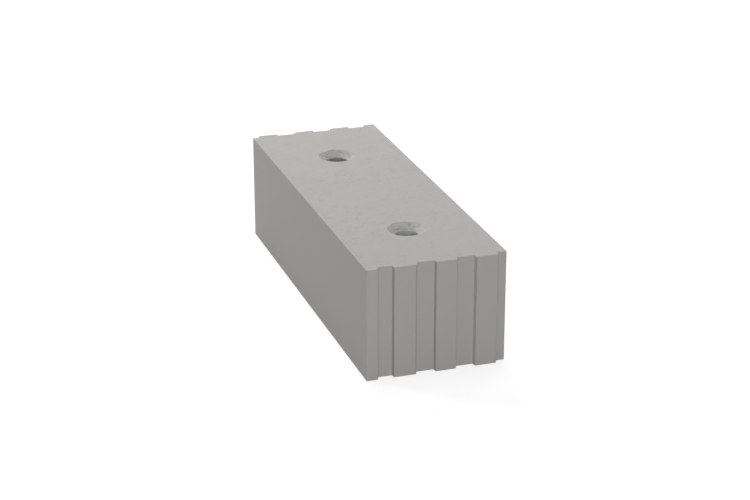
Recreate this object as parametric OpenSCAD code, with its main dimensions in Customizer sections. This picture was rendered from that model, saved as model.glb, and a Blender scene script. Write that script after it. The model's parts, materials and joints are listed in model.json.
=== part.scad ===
// Calcium silicate block for masonry, one pressed piece with tongued ends and two grip holes.
// It lies on its lower bed face, with its length along Y and its front end towards -Y.
// The origin is at the middle of the lower bed face.

/* [Block] */
// Length that one block fills in a course, from the front tongue tips to the back groove floors
course_l = 498; // [380:1:998]
// Width between the two side faces, which is the thickness of the wall
block_w = 175; // [115:1:365]
// Height between the two bed faces
block_h = 140; // [60:1:300]

/* [Tongues and grooves] */
// How far a tongue stands out from the groove floors beside it
tongue_depth = 6; // [3:0.5:12]
// Width of a tongue across its tip
tongue_w = 25.8; // [16:0.2:36]
// Spacing of the tongue centres
tongue_pitch = 51; // [42:0.5:80]
// How far a flank runs sideways between a tongue's tip and the groove floor
flank_run = 0.6; // [0.3:0.1:3.5]
// Tip width of the part tongue that closes one corner of each end
corner_tongue_w = 14.2; // [6:0.2:17]
// Centre of the first full tongue on the front end, from the left side face
front_first = 47.5; // [36:0.1:60]
// Centre of the first full tongue on the back end, from the left side face
back_first = 22.6; // [16:0.2:36]

/* [Grip holes] */
// Spacing of the two grip holes along the block
grip_spacing = 282; // [100:1:420]
// Diameter of the bore that runs down through the block
bore_d = 28; // [16:0.5:45]
// Diameter of the funnel's mouth in the upper bed face
mouth_d = 48.8; // [30:0.2:90]
// Depth of the funnel below the upper bed face
funnel_depth = 8; // [2:0.5:40]

/* [Hidden] */
$fn = 96;
// How far a cutter runs past the face that it cuts, and a tongue's root into the body
overrun = 1;
// Tip to tip length of the block
overall_l = course_l + tongue_depth;

// Plan of one tongue on the Y axis: its tip is at Y = 0 and its root is in the body
module tongue_plan(tip_w) {
    tip = tip_w / 2;
    root = tip + flank_run;
    polygon([
        [-tip, 0],
        [tip, 0],
        [root, tongue_depth],
        [root, tongue_depth + overrun],
        [-root, tongue_depth + overrun],
        [-root, tongue_depth]
    ]);
}

// Tongues of one end: the corner one is centred on a side face, so half of it stays
module end_tongues(first, corner) {
    translate([corner, 0]) tongue_plan(2 * corner_tongue_w);
    for (x = [first : tongue_pitch : block_w])
        translate([x, 0]) tongue_plan(tongue_w);
}

// Plan of the block, from its left front corner: the body between the groove floors
// and the tongues of both ends, trimmed to the side faces
module block_plan() {
    intersection() {
        square([block_w, overall_l]);
        union() {
            translate([0, tongue_depth]) square([block_w, course_l - tongue_depth]);
            end_tongues(front_first, 0);
            translate([0, overall_l]) mirror([0, 1]) end_tongues(back_first, block_w);
        }
    }
}

// Cutter for one grip hole: a straight bore through the block and a funnel at its top
module grip_hole() {
    rotate_extrude()
        polygon([
            [0, -overrun],
            [bore_d / 2, -overrun],
            [bore_d / 2, block_h - funnel_depth],
            [mouth_d / 2, block_h],
            [mouth_d / 2, block_h + overrun],
            [0, block_h + overrun]
        ]);
}

// The whole block
module block() {
    color([0.70, 0.70, 0.69])
    difference() {
        translate([-block_w / 2, -overall_l / 2, 0])
            linear_extrude(block_h) block_plan();
        for (side = [-1, 1])
            translate([0, side * grip_spacing / 2, 0]) grip_hole();
    }
}

block();
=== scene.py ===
# %% [markdown]
# A calcium silicate block. It is pressed from damp sand and lime in a steel mould and then
# hardened with steam, so it is one solid piece: fine-grained, matt and pale grey, with
# flat faces and sharp arrises. Both ends have tongues and grooves over their full height,
# and two funnel-mouthed grip holes run down through it.
#
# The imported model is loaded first. It fixes the block's size and place, and everything
# below is measured from it.

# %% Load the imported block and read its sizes
import bpy
import bmesh
import json
import math
import numpy as np
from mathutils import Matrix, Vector


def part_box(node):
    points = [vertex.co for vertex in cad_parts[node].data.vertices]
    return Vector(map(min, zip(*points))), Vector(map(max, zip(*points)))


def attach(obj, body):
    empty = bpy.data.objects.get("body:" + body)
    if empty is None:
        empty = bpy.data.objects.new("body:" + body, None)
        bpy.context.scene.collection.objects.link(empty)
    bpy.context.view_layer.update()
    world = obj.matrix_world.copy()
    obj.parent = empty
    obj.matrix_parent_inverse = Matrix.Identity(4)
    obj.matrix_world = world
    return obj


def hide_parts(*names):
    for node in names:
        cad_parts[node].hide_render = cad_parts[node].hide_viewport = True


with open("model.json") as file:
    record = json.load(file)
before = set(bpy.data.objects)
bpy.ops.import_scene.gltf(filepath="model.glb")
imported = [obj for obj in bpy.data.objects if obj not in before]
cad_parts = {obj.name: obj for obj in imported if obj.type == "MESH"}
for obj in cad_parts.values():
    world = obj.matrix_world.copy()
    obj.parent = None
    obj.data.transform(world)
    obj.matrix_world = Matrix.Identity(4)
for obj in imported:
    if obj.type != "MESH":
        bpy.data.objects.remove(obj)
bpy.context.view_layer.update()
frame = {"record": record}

MM = 0.001
low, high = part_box("block")
WIDTH, LENGTH, HEIGHT = high - low
grips = [m for m in frame["record"]["mounts"] if m["kind"] == "bore"]
BORE_R = grips[0]["dims"]["r_mm"] * MM
grip_centres = [Vector(m["pos_m"]) for m in grips]
print("block", [round(s / MM, 1) for s in (WIDTH, LENGTH, HEIGHT)], "mm, bore radius", BORE_R / MM)

# %% [markdown]
# The camera stands where the photographer's did. Its place, its turn and the length of its
# lens were solved together from the block's straight edges, so a render lines up with the
# photo edge by edge. A long lens from over two metres away keeps the far end from looking
# small.

# %% Camera
CAMERA_PLACE = Vector((-735.4, -2234.6, 1006.8)) * MM
CAMERA_TURN = math.radians(18.365)
CAMERA_DIP = math.radians(21.96)
LENS_MM = 94.78
SENSOR_MM = 36
SIGHT_REACH = 50

camera = bpy.data.objects.new("camera", bpy.data.cameras.new("camera"))
camera.location = CAMERA_PLACE
camera.rotation_euler = (math.pi / 2 - CAMERA_DIP, 0, -CAMERA_TURN)
camera.data.lens = LENS_MM
camera.data.sensor_width = SENSOR_MM
camera.data.clip_end = SIGHT_REACH
bpy.context.scene.collection.objects.link(camera)
bpy.context.scene.camera = camera
bpy.context.scene.view_settings.view_transform = "Standard"
print("camera", round((CAMERA_PLACE - Vector((0, 0, HEIGHT / 2))).length, 2), "m from the block")

# %% [markdown]
# Shader trees and geometry trees are both made of nodes, and many nodes are of kinds that
# both have. So the same few helpers serve all the trees below. An input is given a value, or
# the socket that feeds it. A ramp goes from a start to an end, and further down such a pair
# often has one name.

# %% Helpers that add nodes


def add_node(tree, kind, inputs=None, **settings):
    """Adds a node, sets its options, and sets or links its inputs."""
    made = tree.nodes.new(kind)
    for name, value in settings.items():
        setattr(made, name, value)
    for name, value in (inputs or {}).items():
        if isinstance(value, bpy.types.NodeSocket):
            tree.links.new(value, made.inputs[name])
        else:
            made.inputs[name].default_value = value
    return made


def maths(tree, operation, *values):
    """The result of one sum on numbers or sockets."""
    return add_node(tree, "ShaderNodeMath", dict(enumerate(values)), operation=operation).outputs[0]


def times(tree, first, second):
    """The product of two numbers or sockets."""
    return maths(tree, "MULTIPLY", first, second)


def ramp(tree, value, start, end, low_result=0.0, high_result=1.0):
    """Maps value from start..end to low_result..high_result, smoothly and without going past."""
    inputs = {"Value": value, "From Min": start, "From Max": end}
    inputs.update({"To Min": low_result, "To Max": high_result})
    made = add_node(tree, "ShaderNodeMapRange", inputs, interpolation_type="SMOOTHSTEP")
    return made.outputs["Result"]


def parts_of(tree, vector):
    """The X, Y and Z parts of a vector."""
    return add_node(tree, "ShaderNodeSeparateXYZ", {"Vector": vector}).outputs


def scaled(tree, vector, amount):
    """A vector made longer, or a colour made brighter, by an amount."""
    made = add_node(tree, "ShaderNodeVectorMath", {0: vector, "Scale": amount}, operation="SCALE")
    return made.outputs[0]


print("helpers for shader and geometry trees are ready")

# %% [markdown]
# The block lies on a plain pale studio floor. The floor is an ordinary matt surface, so it
# takes the block's shadow and throws a little light back onto its sides. To rays that show
# the backdrop itself the floor also glows, which keeps the shadow soft and the background
# white without more light on the block. The world is white to those rays and black to others.

# %% Floor and surrounding light
FLOOR_REACH = 12.0
FLOOR_GREY = 0.45
FLOOR_GLOW = 0.72


def seen_directly(tree):
    """1 for rays that show the backdrop itself: straight from the camera, mirrored or through glass."""
    path = add_node(tree, "ShaderNodeLightPath").outputs
    mirrored = maths(tree, "MAXIMUM", path["Is Glossy Ray"], path["Is Transmission Ray"])
    return maths(tree, "MAXIMUM", path["Is Camera Ray"], mirrored)


floor_mesh = bpy.data.meshes.new("studio_floor")
corners = [(-1, -1), (1, -1), (1, 1), (-1, 1)]
floor_mesh.from_pydata([(x * FLOOR_REACH, y * FLOOR_REACH, 0) for x, y in corners], [], [(0, 1, 2, 3)])
floor = bpy.data.objects.new("studio_floor", floor_mesh)
bpy.context.scene.collection.objects.link(floor)

floor_paint = bpy.data.materials.new("floor_white")
floor_paint.use_nodes = True
tree = floor_paint.node_tree
tree.nodes.clear()
matt = add_node(tree, "ShaderNodeBsdfDiffuse", {"Color": (FLOOR_GREY, FLOOR_GREY, FLOOR_GREY, 1)})
glow_strength = times(tree, seen_directly(tree), FLOOR_GLOW)
glow = add_node(tree, "ShaderNodeEmission", {"Color": (1, 1, 1, 1), "Strength": glow_strength})
both = add_node(tree, "ShaderNodeAddShader", {0: matt.outputs[0], 1: glow.outputs[0]})
add_node(tree, "ShaderNodeOutputMaterial", {"Surface": both.outputs[0]})
floor_mesh.materials.append(floor_paint)

world = bpy.data.worlds.new("studio")
world.use_nodes = True
tree = world.node_tree
tree.nodes.clear()
sky = add_node(tree, "ShaderNodeBackground", {"Color": (1, 1, 1, 1), "Strength": seen_directly(tree)})
add_node(tree, "ShaderNodeOutputWorld", {"Surface": sky.outputs[0]})
bpy.context.scene.world = world
print("floor reaches", FLOOR_REACH, "m each way")

# %% [markdown]
# Six soft lamps stand round the block, as in a product studio. Most of the light comes from
# above and behind, so the upper face is the palest. A small low lamp at the back left skims
# the upper face and the funnels, so that their relief shows. A lamp at the front left and
# one near the ground light the end and the left side, a shade darker. The front left one
# stands almost in line with the camera, so each tongue hides its own shadow. Little light
# comes from the right, so flanks that turn to the right look dark. The strengths were worked
# out together, so that each face gets the tone it has in the photo.

# %% Lamps
LAMPS = {
    "overhead": {"place": (0.0, 0.0, 2.6), "size": 1.6, "watts": 23.8},
    "back": {"place": (0.2, 2.4, 2.2), "size": 1.2, "watts": 42.5},
    "back_right": {"place": (1.5, 1.7, 2.0), "size": 1.2, "watts": 14.4},
    "back_left": {"place": (-2.25, 1.75, 1.1), "size": 0.6, "watts": 31.7},
    "front_left": {"place": (-0.88, -2.79, 1.0), "size": 0.9, "watts": 33.0},
    "front_ground": {"place": (0.0, -3.4, 0.25), "size": 0.5, "watts": 10.4},
}


def add_lamp(name, place, size, watts):
    """A square soft lamp that points at the middle of the block."""
    data = bpy.data.lights.new(name, "AREA")
    data.size = size
    data.energy = watts
    lamp = bpy.data.objects.new(name, data)
    lamp.location = place
    aim = Vector((0, 0, HEIGHT / 2)) - lamp.location
    lamp.rotation_euler = aim.to_track_quat("-Z", "Y").to_euler()
    bpy.context.scene.collection.objects.link(lamp)


for name, lamp in LAMPS.items():
    add_lamp(name, **lamp)
print("lamps", list(LAMPS))

# %% [markdown]
# The mould forms tongues and grooves across both ends, so that blocks in a course key into
# each other. They could be drawn one by one, but they follow a rule: full tongues at an even
# pitch, steep flanks, and a part tongue at one corner. So a function works out each tongue
# from the rule, as the two edges of its root and the two of its tip, measured from the left
# side face. The front end of this block isn't quite regular. The left flanks of its three
# full tongues lie a little to one side, and the right arris of the first one reaches further
# out and is worn more than the others. Those few departures are added to the rule's result.

# %% Places of the tongues
TONGUE_DEPTH = 6 * MM
TONGUE_W = 25.8 * MM
TONGUE_PITCH = 51 * MM
FLANK_RUN = 0.6 * MM
CORNER_TONGUE_W = 14.2 * MM
FRONT_FIRST = 47.5 * MM
BACK_FIRST = 22.6 * MM
WORN_ARRIS = 2.6 * MM
WORN_REACH = 1.5 * MM
LEFT_FLANK_SHIFTS = np.array([(-1.0, -0.6), (0.1, 0.3), (-1.6, -0.6)]) * MM


def tongue(centre, tip_w):
    """Left and right edges of a tongue's root and of its tip, trimmed to the side faces."""
    tip = np.array([centre - tip_w / 2, centre + tip_w / 2])
    root = tip + [-FLANK_RUN, FLANK_RUN]
    return np.clip([root, tip], 0, WIDTH)


def end_tongues(first, corner_centre):
    """The full tongues of an end from left to right, then the corner one."""
    full = [tongue(centre, TONGUE_W) for centre in np.arange(first, WIDTH, TONGUE_PITCH)]
    return full + [tongue(corner_centre, 2 * CORNER_TONGUE_W)]


front_tongues = end_tongues(FRONT_FIRST, 0)
back_tongues = end_tongues(BACK_FIRST, WIDTH)
front_tongues[0][:, 1] += WORN_REACH
for uneven_tongue, root_and_tip in zip(front_tongues, LEFT_FLANK_SHIFTS):
    uneven_tongue[:, 0] += root_and_tip
print("tongues on the front and back ends", len(front_tongues), len(back_tongues))

# %% [markdown]
# The block's skin is a grid of small cells, so that relief and worn arrises can be real
# shape later. Seen from above, the body between the groove floors is one straight grid. It
# has a column at the edge of every tongue's root and of each grip hole's window, the square
# that is left open round the hole. Each tongue is a small grid of its own that carries the
# body's columns on to the tip.

# %% Grid in plan
CELL = 2.0 * MM
ROW = 2.2 * MM
WINDOW = 30 * MM
HAIR = 0.01 * MM


def filled(stops, cell):
    """The stops, with evenly spaced places between them about a cell apart."""
    stops = sorted(stops)
    runs = [np.linspace(a, b, max(1, round((b - a) / cell)) + 1) for a, b in zip(stops, stops[1:])]
    return np.unique(np.concatenate(runs).round(7))


column_stops = {0.0, WIDTH, WIDTH / 2 - WINDOW, WIDTH / 2 + WINDOW}
for root, tip in front_tongues + back_tongues:
    column_stops.update(root)
columns = filled(column_stops, CELL)

body_end = LENGTH / 2 - TONGUE_DEPTH
row_stops = {-body_end, body_end}
for centre in grip_centres:
    row_stops.update((centre.y - WINDOW, centre.y + WINDOW))
rows = filled(row_stops, ROW)

body_plan = np.array([[(x - WIDTH / 2, y) for x in columns] for y in rows])


def tongue_plan(root, tip, side):
    """Points of one tongue in plan, from root to tip. Side is -1 at the front and 1 at the back."""
    at_root = columns[(columns > root[0] - HAIR) & (columns < root[1] + HAIR)]
    at_tip = np.interp(at_root, root, tip)
    lines = []
    for share in np.linspace(0, 1, round(TONGUE_DEPTH / ROW) + 1):
        y = side * (body_end + TONGUE_DEPTH * share)
        lines.append([(x - WIDTH / 2, y) for x in at_root + (at_tip - at_root) * share])
    return np.array(lines)


tongue_plans = [tongue_plan(root, tip, -1) for root, tip in front_tongues]
tongue_plans += [tongue_plan(root, tip, 1) for root, tip in back_tongues]
narrowest = float(np.diff(columns).min())
print(len(columns), "columns and", len(rows), "rows, narrowest", round(narrowest / MM, 2), "mm")

# %% [markdown]
# A grip hole lets the bricklayer get hold of the block. Its mandrel leaves a straight bore
# with a funnel at the top. In the mesh the hole is one tube of rings: from the square
# window in the upper face in to the funnel's mouth, down the funnel and the bore, and out to
# the window in the lower face. Every ring has the same number of points, so the cells stay
# regular all the way. The mouth of the front funnel is a little smaller than the back one's.

# %% Rings of a grip hole
MOUTH_R = 24.4 * MM
FRONT_MOUTH_R = 23.7 * MM
FUNNEL_DEPTH = 8 * MM
BORE_RING = 7 * MM
TOP_RINGS = 7
CONE_RINGS = 10
FOOT_RINGS = 10


def window_cells(centre):
    """Index of the first and last column and row of a hole's window."""
    across = columns - WIDTH / 2 - centre.x
    along = rows - centre.y
    edges = [(places, side * WINDOW) for places in (across, along) for side in (-1, 1)]
    return [int(np.abs(places - edge).argmin()) for places, edge in edges]


def window_edge(centre):
    """The points round a window's edge, once round and back to the start."""
    c0, c1, r0, r1 = window_cells(centre)
    near_and_right = [body_plan[r0, c0:c1], body_plan[r0:r1, c1]]
    far_and_left = [body_plan[r1, c1:c0:-1], body_plan[r1:r0:-1, c0]]
    edge = np.concatenate(near_and_right + far_and_left)
    return np.vstack([edge, edge[:1]])


def ring_sizes(mouth_r):
    """(share from the window's edge to the circle, radius, level) of each ring, top to bottom."""
    throat = HEIGHT - FUNNEL_DEPTH
    rings = [(share, mouth_r, HEIGHT) for share in np.linspace(0, 1, TOP_RINGS)]
    for share in np.linspace(0, 1, CONE_RINGS)[1:]:
        rings.append((1, mouth_r + (BORE_R - mouth_r) * share, HEIGHT - FUNNEL_DEPTH * share))
    for level in np.linspace(throat, 0, round(throat / BORE_RING) + 1)[1:]:
        rings.append((1, BORE_R, level))
    return rings + [(share, BORE_R, 0) for share in np.linspace(1, 0, FOOT_RINGS)[1:]]


def at_level(points, level):
    """Plan points lifted to a level, one for all or one for each line."""
    return np.concatenate([points, np.full(points.shape[:-1] + (1,), level)], axis=-1)


def hole_rings(centre):
    """All rings of one hole, as a grid of points."""
    edge = window_edge(centre)
    middle = np.array(centre.xy)
    out = edge - middle
    circle = out / np.linalg.norm(out, axis=1)[:, None]
    mouth_r = FRONT_MOUTH_R if centre.y < 0 else MOUTH_R
    return np.array([at_level(edge + (middle + circle * radius - edge) * share, level)
                     for share, radius, level in ring_sizes(mouth_r)])


print("rings in a hole", len(ring_sizes(MOUTH_R)), "of", len(window_edge(grip_centres[0])) - 1, "points")

# %% [markdown]
# Now the skin is put together. The lower face is laid down first, and its rim is drawn up
# level by level into the sides and ends. The upper face and the two tubes close it. All the
# sheets share the points along their edges, so merging those points joins them, and then
# the faces can be turned outwards.

# %% Join the skin of the block
LEVEL = 3.5 * MM


def add_sheet(skin, points, windows=()):
    """Adds a grid of points as four-sided cells, leaving the windows open."""
    verts = [[skin.verts.new(p) for p in line] for line in points]
    for r in range(len(verts) - 1):
        for c in range(len(verts[0]) - 1):
            if any(c0 <= c < c1 and r0 <= r < r1 for c0, c1, r0, r1 in windows):
                continue
            skin.faces.new((verts[r][c], verts[r][c + 1], verts[r + 1][c + 1], verts[r + 1][c]))


def add_bed_face(skin, level):
    """Adds the body and the tongues at one level."""
    add_sheet(skin, at_level(body_plan, level), [window_cells(c) for c in grip_centres])
    for plan in tongue_plans:
        add_sheet(skin, at_level(plan, level))
    bmesh.ops.delete(skin, geom=[v for v in skin.verts if not v.link_faces], context="VERTS")
    bmesh.ops.remove_doubles(skin, verts=skin.verts, dist=HAIR)


def beside_window(edge):
    """Whether an edge lies on the border of a grip hole's window."""
    middle = (edge.verts[0].co + edge.verts[1].co) / 2
    reach = min(max(abs(middle.x - c.x), abs(middle.y - c.y)) for c in grip_centres)
    return reach < WINDOW + HAIR


skin = bmesh.new()
add_bed_face(skin, 0)
rim = [e for e in skin.edges if e.is_boundary and not beside_window(e)]
levels = filled({0.0, HEIGHT}, LEVEL)
for rise in np.diff(levels):
    drawn = bmesh.ops.extrude_edge_only(skin, edges=rim)["geom"]
    rim = [g for g in drawn if isinstance(g, bmesh.types.BMEdge) and g.is_boundary]
    lifted = [g for g in drawn if isinstance(g, bmesh.types.BMVert)]
    bmesh.ops.translate(skin, verts=lifted, vec=(0, 0, rise))
add_bed_face(skin, HEIGHT)
for centre in grip_centres:
    add_sheet(skin, hole_rings(centre))
bmesh.ops.remove_doubles(skin, verts=skin.verts, dist=HAIR)
bmesh.ops.recalc_face_normals(skin, faces=skin.faces)
open_edges = sum(not e.is_manifold for e in skin.edges)
litres = skin.calc_volume() / (100 * MM) ** 3
print("skin:", len(skin.faces), "cells,", open_edges, "open edges,", round(litres, 3), "litres")

# %% [markdown]
# The arrises of a pressed block are crisp but not razor sharp: a fraction of a millimetre
# crumbles off when it leaves the mould. A Bevel modifier rounds every arris. Each edge has
# a weight, so that the one worn arris on the front end is rounded ten times as much as the
# other arrises and the throats of the funnels.

# %% Round the arrises
ARRIS_ANGLE = math.radians(25)
ARRIS_SHARE = 0.1
ARRIS_SEGMENTS = 2

weights = skin.edges.layers.float.new("bevel_weight_edge")
worn_x = front_tongues[0][1][1] - WIDTH / 2
for edge in skin.edges:
    if edge.calc_face_angle(0) < ARRIS_ANGLE:
        continue
    ends = [v.co for v in edge.verts]
    on_worn = all(abs(p.x - worn_x) < HAIR and p.y < -LENGTH / 2 + HAIR for p in ends)
    edge[weights] = 1.0 if on_worn else ARRIS_SHARE

block_mesh = bpy.data.meshes.new("pressed_block")
skin.to_mesh(block_mesh)
skin.free()
block = bpy.data.objects.new("pressed_block", block_mesh)
bpy.context.scene.collection.objects.link(block)

rounding = block.modifiers.new("rounded arrises", "BEVEL")
rounding.width = WORN_ARRIS
rounding.segments = ARRIS_SEGMENTS
rounding.limit_method = "WEIGHT"
print("arrises rounded by", round(WORN_ARRIS * ARRIS_SHARE / MM, 2), "to", WORN_ARRIS / MM, "mm")

# %% [markdown]
# Several things change near a grip hole: the funnel is rougher than the faces and painted
# paler with painted light, and the bore is smooth and has a film on it. The material's tree and
# the shape's tree both need to know where that is, so this measures how far a place is from
# the axis of the nearest hole. The two holes mirror each other in the middle of the block, so
# the sum works with the distance from that middle. Both trees also need soft random values.

# %% Helpers that measure a place
GRIP_REACH = abs(grip_centres[0].y)


def grip_distance(tree, place):
    """Distance from the nearest hole's axis."""
    parts = parts_of(tree, place)
    along = maths(tree, "SUBTRACT", maths(tree, "ABSOLUTE", parts["Y"]), GRIP_REACH)
    squares = maths(tree, "MULTIPLY_ADD", parts["X"], parts["X"], times(tree, along, along))
    return maths(tree, "SQRT", squares)


def noise(tree, place, size, seed, detail=2.0):
    """Soft random values from 0 to 1, with blobs of about a size."""
    inputs = {"Vector": place, "W": seed, "Scale": maths(tree, "DIVIDE", 1.0, size), "Detail": detail}
    return add_node(tree, "ShaderNodeTexNoise", inputs, noise_dimensions="4D").outputs["Fac"]


print("grip holes stand", round(GRIP_REACH / MM, 1), "mm from the middle")

# %% [markdown]
# The material is fine sand bound with lime: matt, pale grey and slightly warm. Its tone
# drifts a little over the block, and the upper face also has fine grain and slanting streaks
# of small dents, which are painted darker as painted shade in them. A picture of real sand
# could be laid on, but noise has no seams and no pixels. The Mapping node turns and stretches
# the place that the noise is read at, so the dents come out long and all lean the same way.

# %% Tone of grain, and painted shade in the dents
MATERIAL_SEED = 7.0
DRIFT_SIZE = 60 * MM
DRIFT_RANGE = (0.3, 0.7)
DRIFT = 0.006
LOOKS_UP = (0.3, 0.6)
STREAK_TURN = math.radians(27)
STREAK_STRETCH = 5.0
GRAIN_SIZE = 1.5 * MM
GRAIN_DETAIL = 3.0
GRAIN_RANGE = (0.2, 0.8)
GRAIN_TONE = 0.006
DENT_SIZE = 1.5 * MM
DENT_RANGE = (0.58, 0.72)
DENT_PAINTED_SHADE = 0.065

sand_lime = bpy.data.materials.new("sand_lime_grey")
sand_lime.use_nodes = True
tree = sand_lime.node_tree
surface = tree.nodes["Principled BSDF"]
place = add_node(tree, "ShaderNodeTexCoord").outputs["Object"]
turned = add_node(tree, "ShaderNodeNewGeometry").outputs["Normal"]
on_top = ramp(tree, parts_of(tree, turned)["Z"], *LOOKS_UP)

blotches = noise(tree, place, DRIFT_SIZE, MATERIAL_SEED)
drift = ramp(tree, blotches, *DRIFT_RANGE, 1 - DRIFT, 1 + DRIFT)
lean = {"Vector": place, "Rotation": (0, 0, STREAK_TURN), "Scale": (STREAK_STRETCH, 1, 1)}
streaked = add_node(tree, "ShaderNodeMapping", lean, vector_type="TEXTURE").outputs[0]
grain = noise(tree, streaked, GRAIN_SIZE, MATERIAL_SEED, GRAIN_DETAIL)
dents = ramp(tree, noise(tree, streaked, DENT_SIZE, MATERIAL_SEED + 1), *DENT_RANGE)
tone = ramp(tree, grain, *GRAIN_RANGE, -GRAIN_TONE, GRAIN_TONE)
# Painted shade: the dents on the upper face are painted darker.
tone = maths(tree, "MULTIPLY_ADD", dents, -DENT_PAINTED_SHADE, tone)
brightness = maths(tree, "MULTIPLY_ADD", tone, on_top, drift)
print("streaks lean", round(math.degrees(STREAK_TURN)), "degrees")

# %% [markdown]
# The steel mandrel wipes the wall of a bore as it is drawn out, and leaves a thin cool film
# of lime on it. On top of that colour the front bore is painted paler, as painted light, and
# the back one darker, as painted shade. The funnels and bores are painted a little paler than
# the faces, as painted light. Each could have a material of its own, but that would end in a
# hard line, so one tree fades between the colours by distance.

# %% Colour of the faces, the bores and the funnels
BODY_GREY = (0.46, 0.4535, 0.4455, 1)
# Painted light and shade: the film has its own cool colour, painted paler in the front bore and darker
# in the back one.
FRONT_FILM_WITH_PAINTED_LIGHT = (0.512, 0.521, 0.531, 1)
BACK_FILM_WITH_PAINTED_SHADE = (0.355, 0.360, 0.363, 1)
FILM_EDGE = 0.6 * MM
FUNNEL_LIGHT_FADE = 3 * MM
FUNNEL_PAINTED_LIGHT = 0.1


def mixed(tree, share, first, second):
    """The first colour at share 0, the second at share 1. A Mix node has its colours at 6 and 7."""
    return add_node(tree, "ShaderNodeMix", {0: share, 6: first, 7: second}, data_type="RGBA").outputs[2]


distance = grip_distance(tree, place)
in_bore = ramp(tree, distance, BORE_R + FILM_EDGE / 2, BORE_R + FILM_EDGE, 1.0, 0.0)
at_back = ramp(tree, parts_of(tree, place)["Y"], -BORE_R, BORE_R)
film_with_painted_light_and_shade = mixed(tree, at_back, FRONT_FILM_WITH_PAINTED_LIGHT, BACK_FILM_WITH_PAINTED_SHADE)
colour = mixed(tree, in_bore, BODY_GREY, film_with_painted_light_and_shade)
# Painted light: inside the mouth the funnel and the bore are painted a tenth paler, fading out over the
# last few millimetres to the rim.
painted_funnel_light = ramp(tree, distance, MOUTH_R - FUNNEL_LIGHT_FADE, MOUTH_R, 1 + FUNNEL_PAINTED_LIGHT, 1.0)
brightness = times(tree, brightness, painted_funnel_light)
tree.links.new(scaled(tree, colour, brightness), surface.inputs["Base Color"])
print("film reaches", FILM_EDGE / MM, "mm past the bore, painted_light", FUNNEL_LIGHT_FADE / MM, "mm inside the mouth")

# %% [markdown]
# The grain and the dents are too fine to be shape, so they are bump as well as tone, and the
# tone of the dents is painted shade. The bump is strongest in the funnels, where the surface
# is coarse. The sides and ends come out smooth, because they slide along steel plates as the
# block leaves the mould, so they have no bump.

# %% Bump of grain and dents
GRAIN_DEPTH = 0.3
DENT_DEPTH = 0.38
FUNNEL_GRAIN = 1.9
FUNNEL_FADE = 1 * MM
ROUGHNESS = 0.9
SPECULAR = 0.25

coarse = ramp(tree, distance, MOUTH_R - FUNNEL_FADE, MOUTH_R, FUNNEL_GRAIN, 1.0)
height = maths(tree, "MULTIPLY_ADD", dents, -DENT_DEPTH, times(tree, grain, GRAIN_DEPTH))
height = times(tree, height, times(tree, coarse, on_top))
bump = add_node(tree, "ShaderNodeBump", {"Height": height, "Distance": MM, "Strength": 1.0})
tree.links.new(bump.outputs[0], surface.inputs["Normal"])
surface.inputs["Roughness"].default_value = ROUGHNESS
surface.inputs["Specular IOR Level"].default_value = SPECULAR
print("material", sand_lime.name, "with", len(tree.nodes), "nodes")

# %% [markdown]
# The real skin also has shape. The upper face and the funnels are only pressed, so the damp
# sand keeps a fine uneven relief there with small pits, coarsest in the funnels, and small
# crumbs come off along the arrises. It could be sculpted by hand, but all of it is random
# and follows the surface, so a Geometry Nodes tree does it: every point moves inwards by the
# sum of these depths. First come the tree and its inputs.

# %% Tree that gives the skin its relief
RELIEF_INPUTS = {
    "Face Relief": 0.12 * MM,
    "Relief Size": 5.0 * MM,
    "Side Share": 0.05,
    "Pit Depth": 0.2 * MM,
    "Pit Spacing": 12.0 * MM,
    "Funnel Relief": 1.1 * MM,
    "Funnel Grain": 2.2 * MM,
    "Arris Wear": 0.4 * MM,
    "Crumb Size": 7.0 * MM,
    "Other Arrises": 0.25,
    "Seed": 3.0,
}

relief = bpy.data.node_groups.new("pressed face relief", "GeometryNodeTree")
relief.is_modifier = True
relief.interface.new_socket("Geometry", in_out="INPUT", socket_type="NodeSocketGeometry")
relief.interface.new_socket("Geometry", in_out="OUTPUT", socket_type="NodeSocketGeometry")
for name, value in RELIEF_INPUTS.items():
    socket = relief.interface.new_socket(name, in_out="INPUT", socket_type="NodeSocketFloat")
    socket.default_value = value
relief.interface.new_socket("Material", in_out="INPUT", socket_type="NodeSocketMaterial")

given = add_node(relief, "NodeGroupInput").outputs
position = add_node(relief, "GeometryNodeInputPosition").outputs[0]
normal = add_node(relief, "GeometryNodeInputNormal").outputs["Normal"]
print("relief tree with inputs", list(RELIEF_INPUTS))

# %% [markdown]
# Faces that look up get the full relief, the sides and ends only a small share of it. The
# relief is soft noise. The pits are the hearts of Voronoi cells, which lie about evenly
# apart without making a pattern.

# %% Relief and pits of the faces
PRESSED = (0.4, 0.75)
PIT_EDGE = (0.05, 0.30)

share = ramp(relief, parts_of(relief, normal)["Z"], *PRESSED, given["Side Share"], 1.0)
uneven = noise(relief, position, given["Relief Size"], given["Seed"])
face_depth = times(relief, uneven, given["Face Relief"])

seeded = add_node(relief, "ShaderNodeVectorMath", {0: position, 1: given["Seed"]}, operation="ADD")
pit_inputs = {"Vector": seeded.outputs[0], "Scale": maths(relief, "DIVIDE", 1.0, given["Pit Spacing"])}
pits = add_node(relief, "ShaderNodeTexVoronoi", pit_inputs, voronoi_dimensions="2D").outputs
hollow = ramp(relief, pits["Distance"], *PIT_EDGE, 1.0, 0.0)
pit_depth = times(relief, hollow, given["Pit Depth"])
pressed_depth = times(relief, maths(relief, "ADD", face_depth, pit_depth), share)
print("faces vary by up to", RELIEF_INPUTS["Face Relief"] / MM, "mm")

# %% [markdown]
# The damp sand of a funnel tears a little as the mandrel leaves it, so its cone is rough.
# The rim and the throat stay clean circles, so the roughness fades out towards both, and it
# doesn't reach down into the bore.

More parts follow.
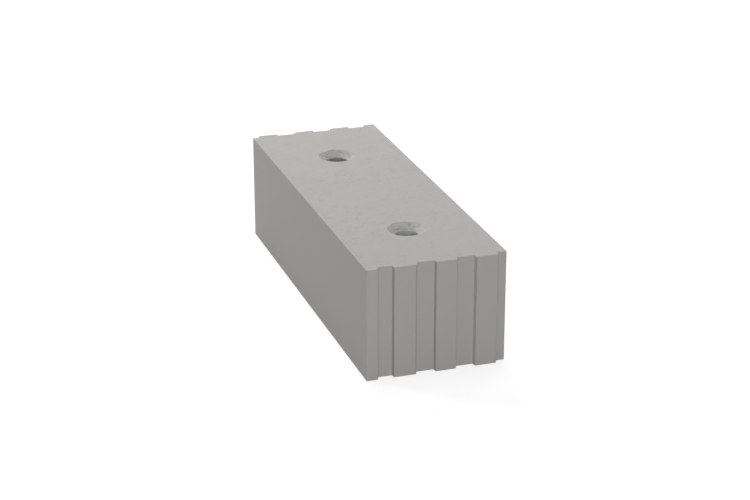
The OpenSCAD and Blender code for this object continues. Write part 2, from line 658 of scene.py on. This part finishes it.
# %% Roughness of the funnels
RIM_FADE = (MOUTH_R - 4 * MM, MOUTH_R - 1 * MM)
THROAT_FADE = (BORE_R + 0.5 * MM, BORE_R + 3 * MM)
BORE_FADE = (HEIGHT - FUNNEL_DEPTH - 3 * MM, HEIGHT - FUNNEL_DEPTH + 1 * MM)
ROUGH_RANGE = (0.3, 0.7)
ROUGH_DETAIL = 3.0

distance = grip_distance(relief, position)
inside_rim = ramp(relief, distance, *RIM_FADE, 1.0, 0.0)
off_throat = ramp(relief, distance, *THROAT_FADE)
above_bore = ramp(relief, parts_of(relief, position)["Z"], *BORE_FADE)
on_cone = times(relief, times(relief, inside_rim, off_throat), above_bore)
torn = noise(relief, position, given["Funnel Grain"], given["Seed"], ROUGH_DETAIL)
torn = ramp(relief, torn, *ROUGH_RANGE, -0.5, 0.5)
funnel_depth = times(relief, times(relief, torn, given["Funnel Relief"]), on_cone)
print("funnels vary by up to", RELIEF_INPUTS["Funnel Relief"] / MM, "mm")

# %% [markdown]
# Crumbs come off the arrises. An edge's angle tells where an arris is, and noise tells where
# a crumb has come off. Most go at the upper and lower arrises of the ends, where the
# surface looks both along the block and up or down, and the others lose less. If each row
# of an arris moved along its own normal, the rows would cross and the faces between them
# would turn over. So the normals are first evened out with their neighbours'.

# %% Crumbs along the arrises
FOLD = (0.15, 0.35)
END_ARRIS = (0.15, 0.35)
CRUMB_RANGE = (0.42, 0.72)
LEAST_CRUMB = 0.1
CRUMB_DETAIL = 3.0


def evened(tree, value, kind, rounds):
    """Values on a mesh, averaged with their neighbours' a number of times."""
    blur = add_node(tree, "GeometryNodeBlurAttribute", {"Iterations": rounds}, data_type=kind)
    tree.links.new(value, next(s for s in blur.inputs if s.enabled))
    return next(s for s in blur.outputs if s.enabled)


even_normal = evened(relief, normal, "FLOAT_VECTOR", 2)
outward = add_node(relief, "ShaderNodeVectorMath", {0: even_normal}, operation="NORMALIZE").outputs[0]
facing = parts_of(relief, outward)
at_end = maths(relief, "ABSOLUTE", times(relief, facing["Y"], facing["Z"]))
which_arris = ramp(relief, at_end, *END_ARRIS, given["Other Arrises"], 1.0)

fold = add_node(relief, "GeometryNodeInputMeshEdgeAngle").outputs["Signed Angle"]
arris = evened(relief, ramp(relief, fold, *FOLD), "FLOAT", 1)
crumbs = noise(relief, position, given["Crumb Size"], given["Seed"], CRUMB_DETAIL)
crumbs = times(relief, ramp(relief, crumbs, *CRUMB_RANGE, LEAST_CRUMB, 1.0), which_arris)
arris_depth = times(relief, times(relief, arris, crumbs), given["Arris Wear"])
print("arrises lose up to", RELIEF_INPUTS["Arris Wear"] / MM, "mm")

# %% [markdown]
# The three depths are added, and every point moves inwards by the sum. The tree ends by
# making everything real and giving it the material, so that nothing is lost in an export.

# %% Move the points
depth = maths(relief, "ADD", maths(relief, "ADD", pressed_depth, funnel_depth), arris_depth)
inward = scaled(relief, outward, times(relief, depth, -1.0))
moved = add_node(relief, "GeometryNodeSetPosition", {"Geometry": given["Geometry"], "Offset": inward})
real = add_node(relief, "GeometryNodeRealizeInstances", {"Geometry": moved.outputs[0]})
paint_inputs = {"Geometry": real.outputs[0], "Material": given["Material"]}
painted = add_node(relief, "GeometryNodeSetMaterial", paint_inputs)
add_node(relief, "NodeGroupOutput", {"Geometry": painted.outputs[0]})
print("relief tree has", len(relief.nodes), "nodes")

# %% [markdown]
# The tree goes on after the rounding. Then the result is turned into a plain mesh with no
# modifiers. Rounding leaves a point or two a hair below the floor, so each point is brought
# back between the two bed faces. The shading is smooth everywhere but along the arrises.

# %% Press the relief into the block
SHARP_ANGLE = math.radians(20)

pressing = block.modifiers.new("pressed relief", "NODES")
pressing.node_group = relief
for socket in relief.interface.items_tree:
    if socket.in_out == "INPUT" and socket.name in RELIEF_INPUTS:
        pressing[socket.identifier] = RELIEF_INPUTS[socket.name]
    if socket.in_out == "INPUT" and socket.name == "Material":
        pressing[socket.identifier] = sand_lime

evaluated = block.evaluated_get(bpy.context.evaluated_depsgraph_get())
finished = bpy.data.meshes.new_from_object(evaluated)
for vertex in finished.vertices:
    vertex.co.z = min(max(vertex.co.z, 0), HEIGHT)
block.modifiers.clear()
block.data = finished
finished.shade_smooth()
finished.set_sharp_from_angle(angle=SHARP_ANGLE)
triangles = sum(len(p.vertices) - 2 for p in finished.polygons)
print("finished block:", triangles, "triangles,", [m.name for m in finished.materials])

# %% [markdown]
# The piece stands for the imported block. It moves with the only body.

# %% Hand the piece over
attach(block, "root")
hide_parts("block")
